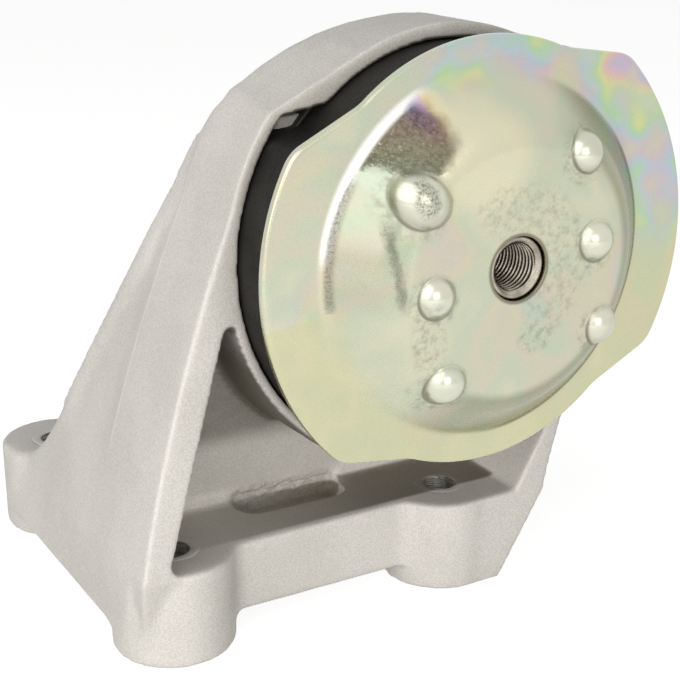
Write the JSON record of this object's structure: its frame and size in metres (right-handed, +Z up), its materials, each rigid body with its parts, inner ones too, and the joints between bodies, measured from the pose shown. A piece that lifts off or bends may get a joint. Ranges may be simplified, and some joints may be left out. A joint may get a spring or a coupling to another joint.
{
  "type": "engine mount",
  "caption": "Die-cast bracket on four tapped bosses, holding an upright round hydraulic rubber mount closed in front by a domed, eared steel plate with a threaded centre hole.",
  "frame": {"origin": "middle of the four screw holes, on the plane of the boss ends", "axes": "+Z up from the boss ends, -Y out of the front towards which the domed plate and its thread face, +X to the right as seen from the front"},
  "size_m": [0.1415, 0.1437, 0.1478],
  "materials": {
    "bracket_casting": "as-cast, shot-blasted, matt light grey",
    "cap_plate": "yellow zinc plating with faint rainbow tints",
    "threaded_hub": "plain turned steel",
    "rubber_spring": "moulded black rubber",
    "outer_sleeve": "plain pressed steel",
    "channel_plate": "plain",
    "decoupler_disc": "moulded",
    "bellows": "moulded",
    "rear_cover": "plain pressed steel"
  },
  "bodies": {
    "root": {"bracket_casting": "bracket_casting", "cap_plate": "cap_plate", "threaded_hub": "threaded_hub", "rubber_spring": "rubber_spring", "outer_sleeve": "outer_sleeve", "channel_plate": "channel_plate", "decoupler_disc": "decoupler_disc", "bellows": "bellows", "rear_cover": "rear_cover"}
  },
  "joints": []
}
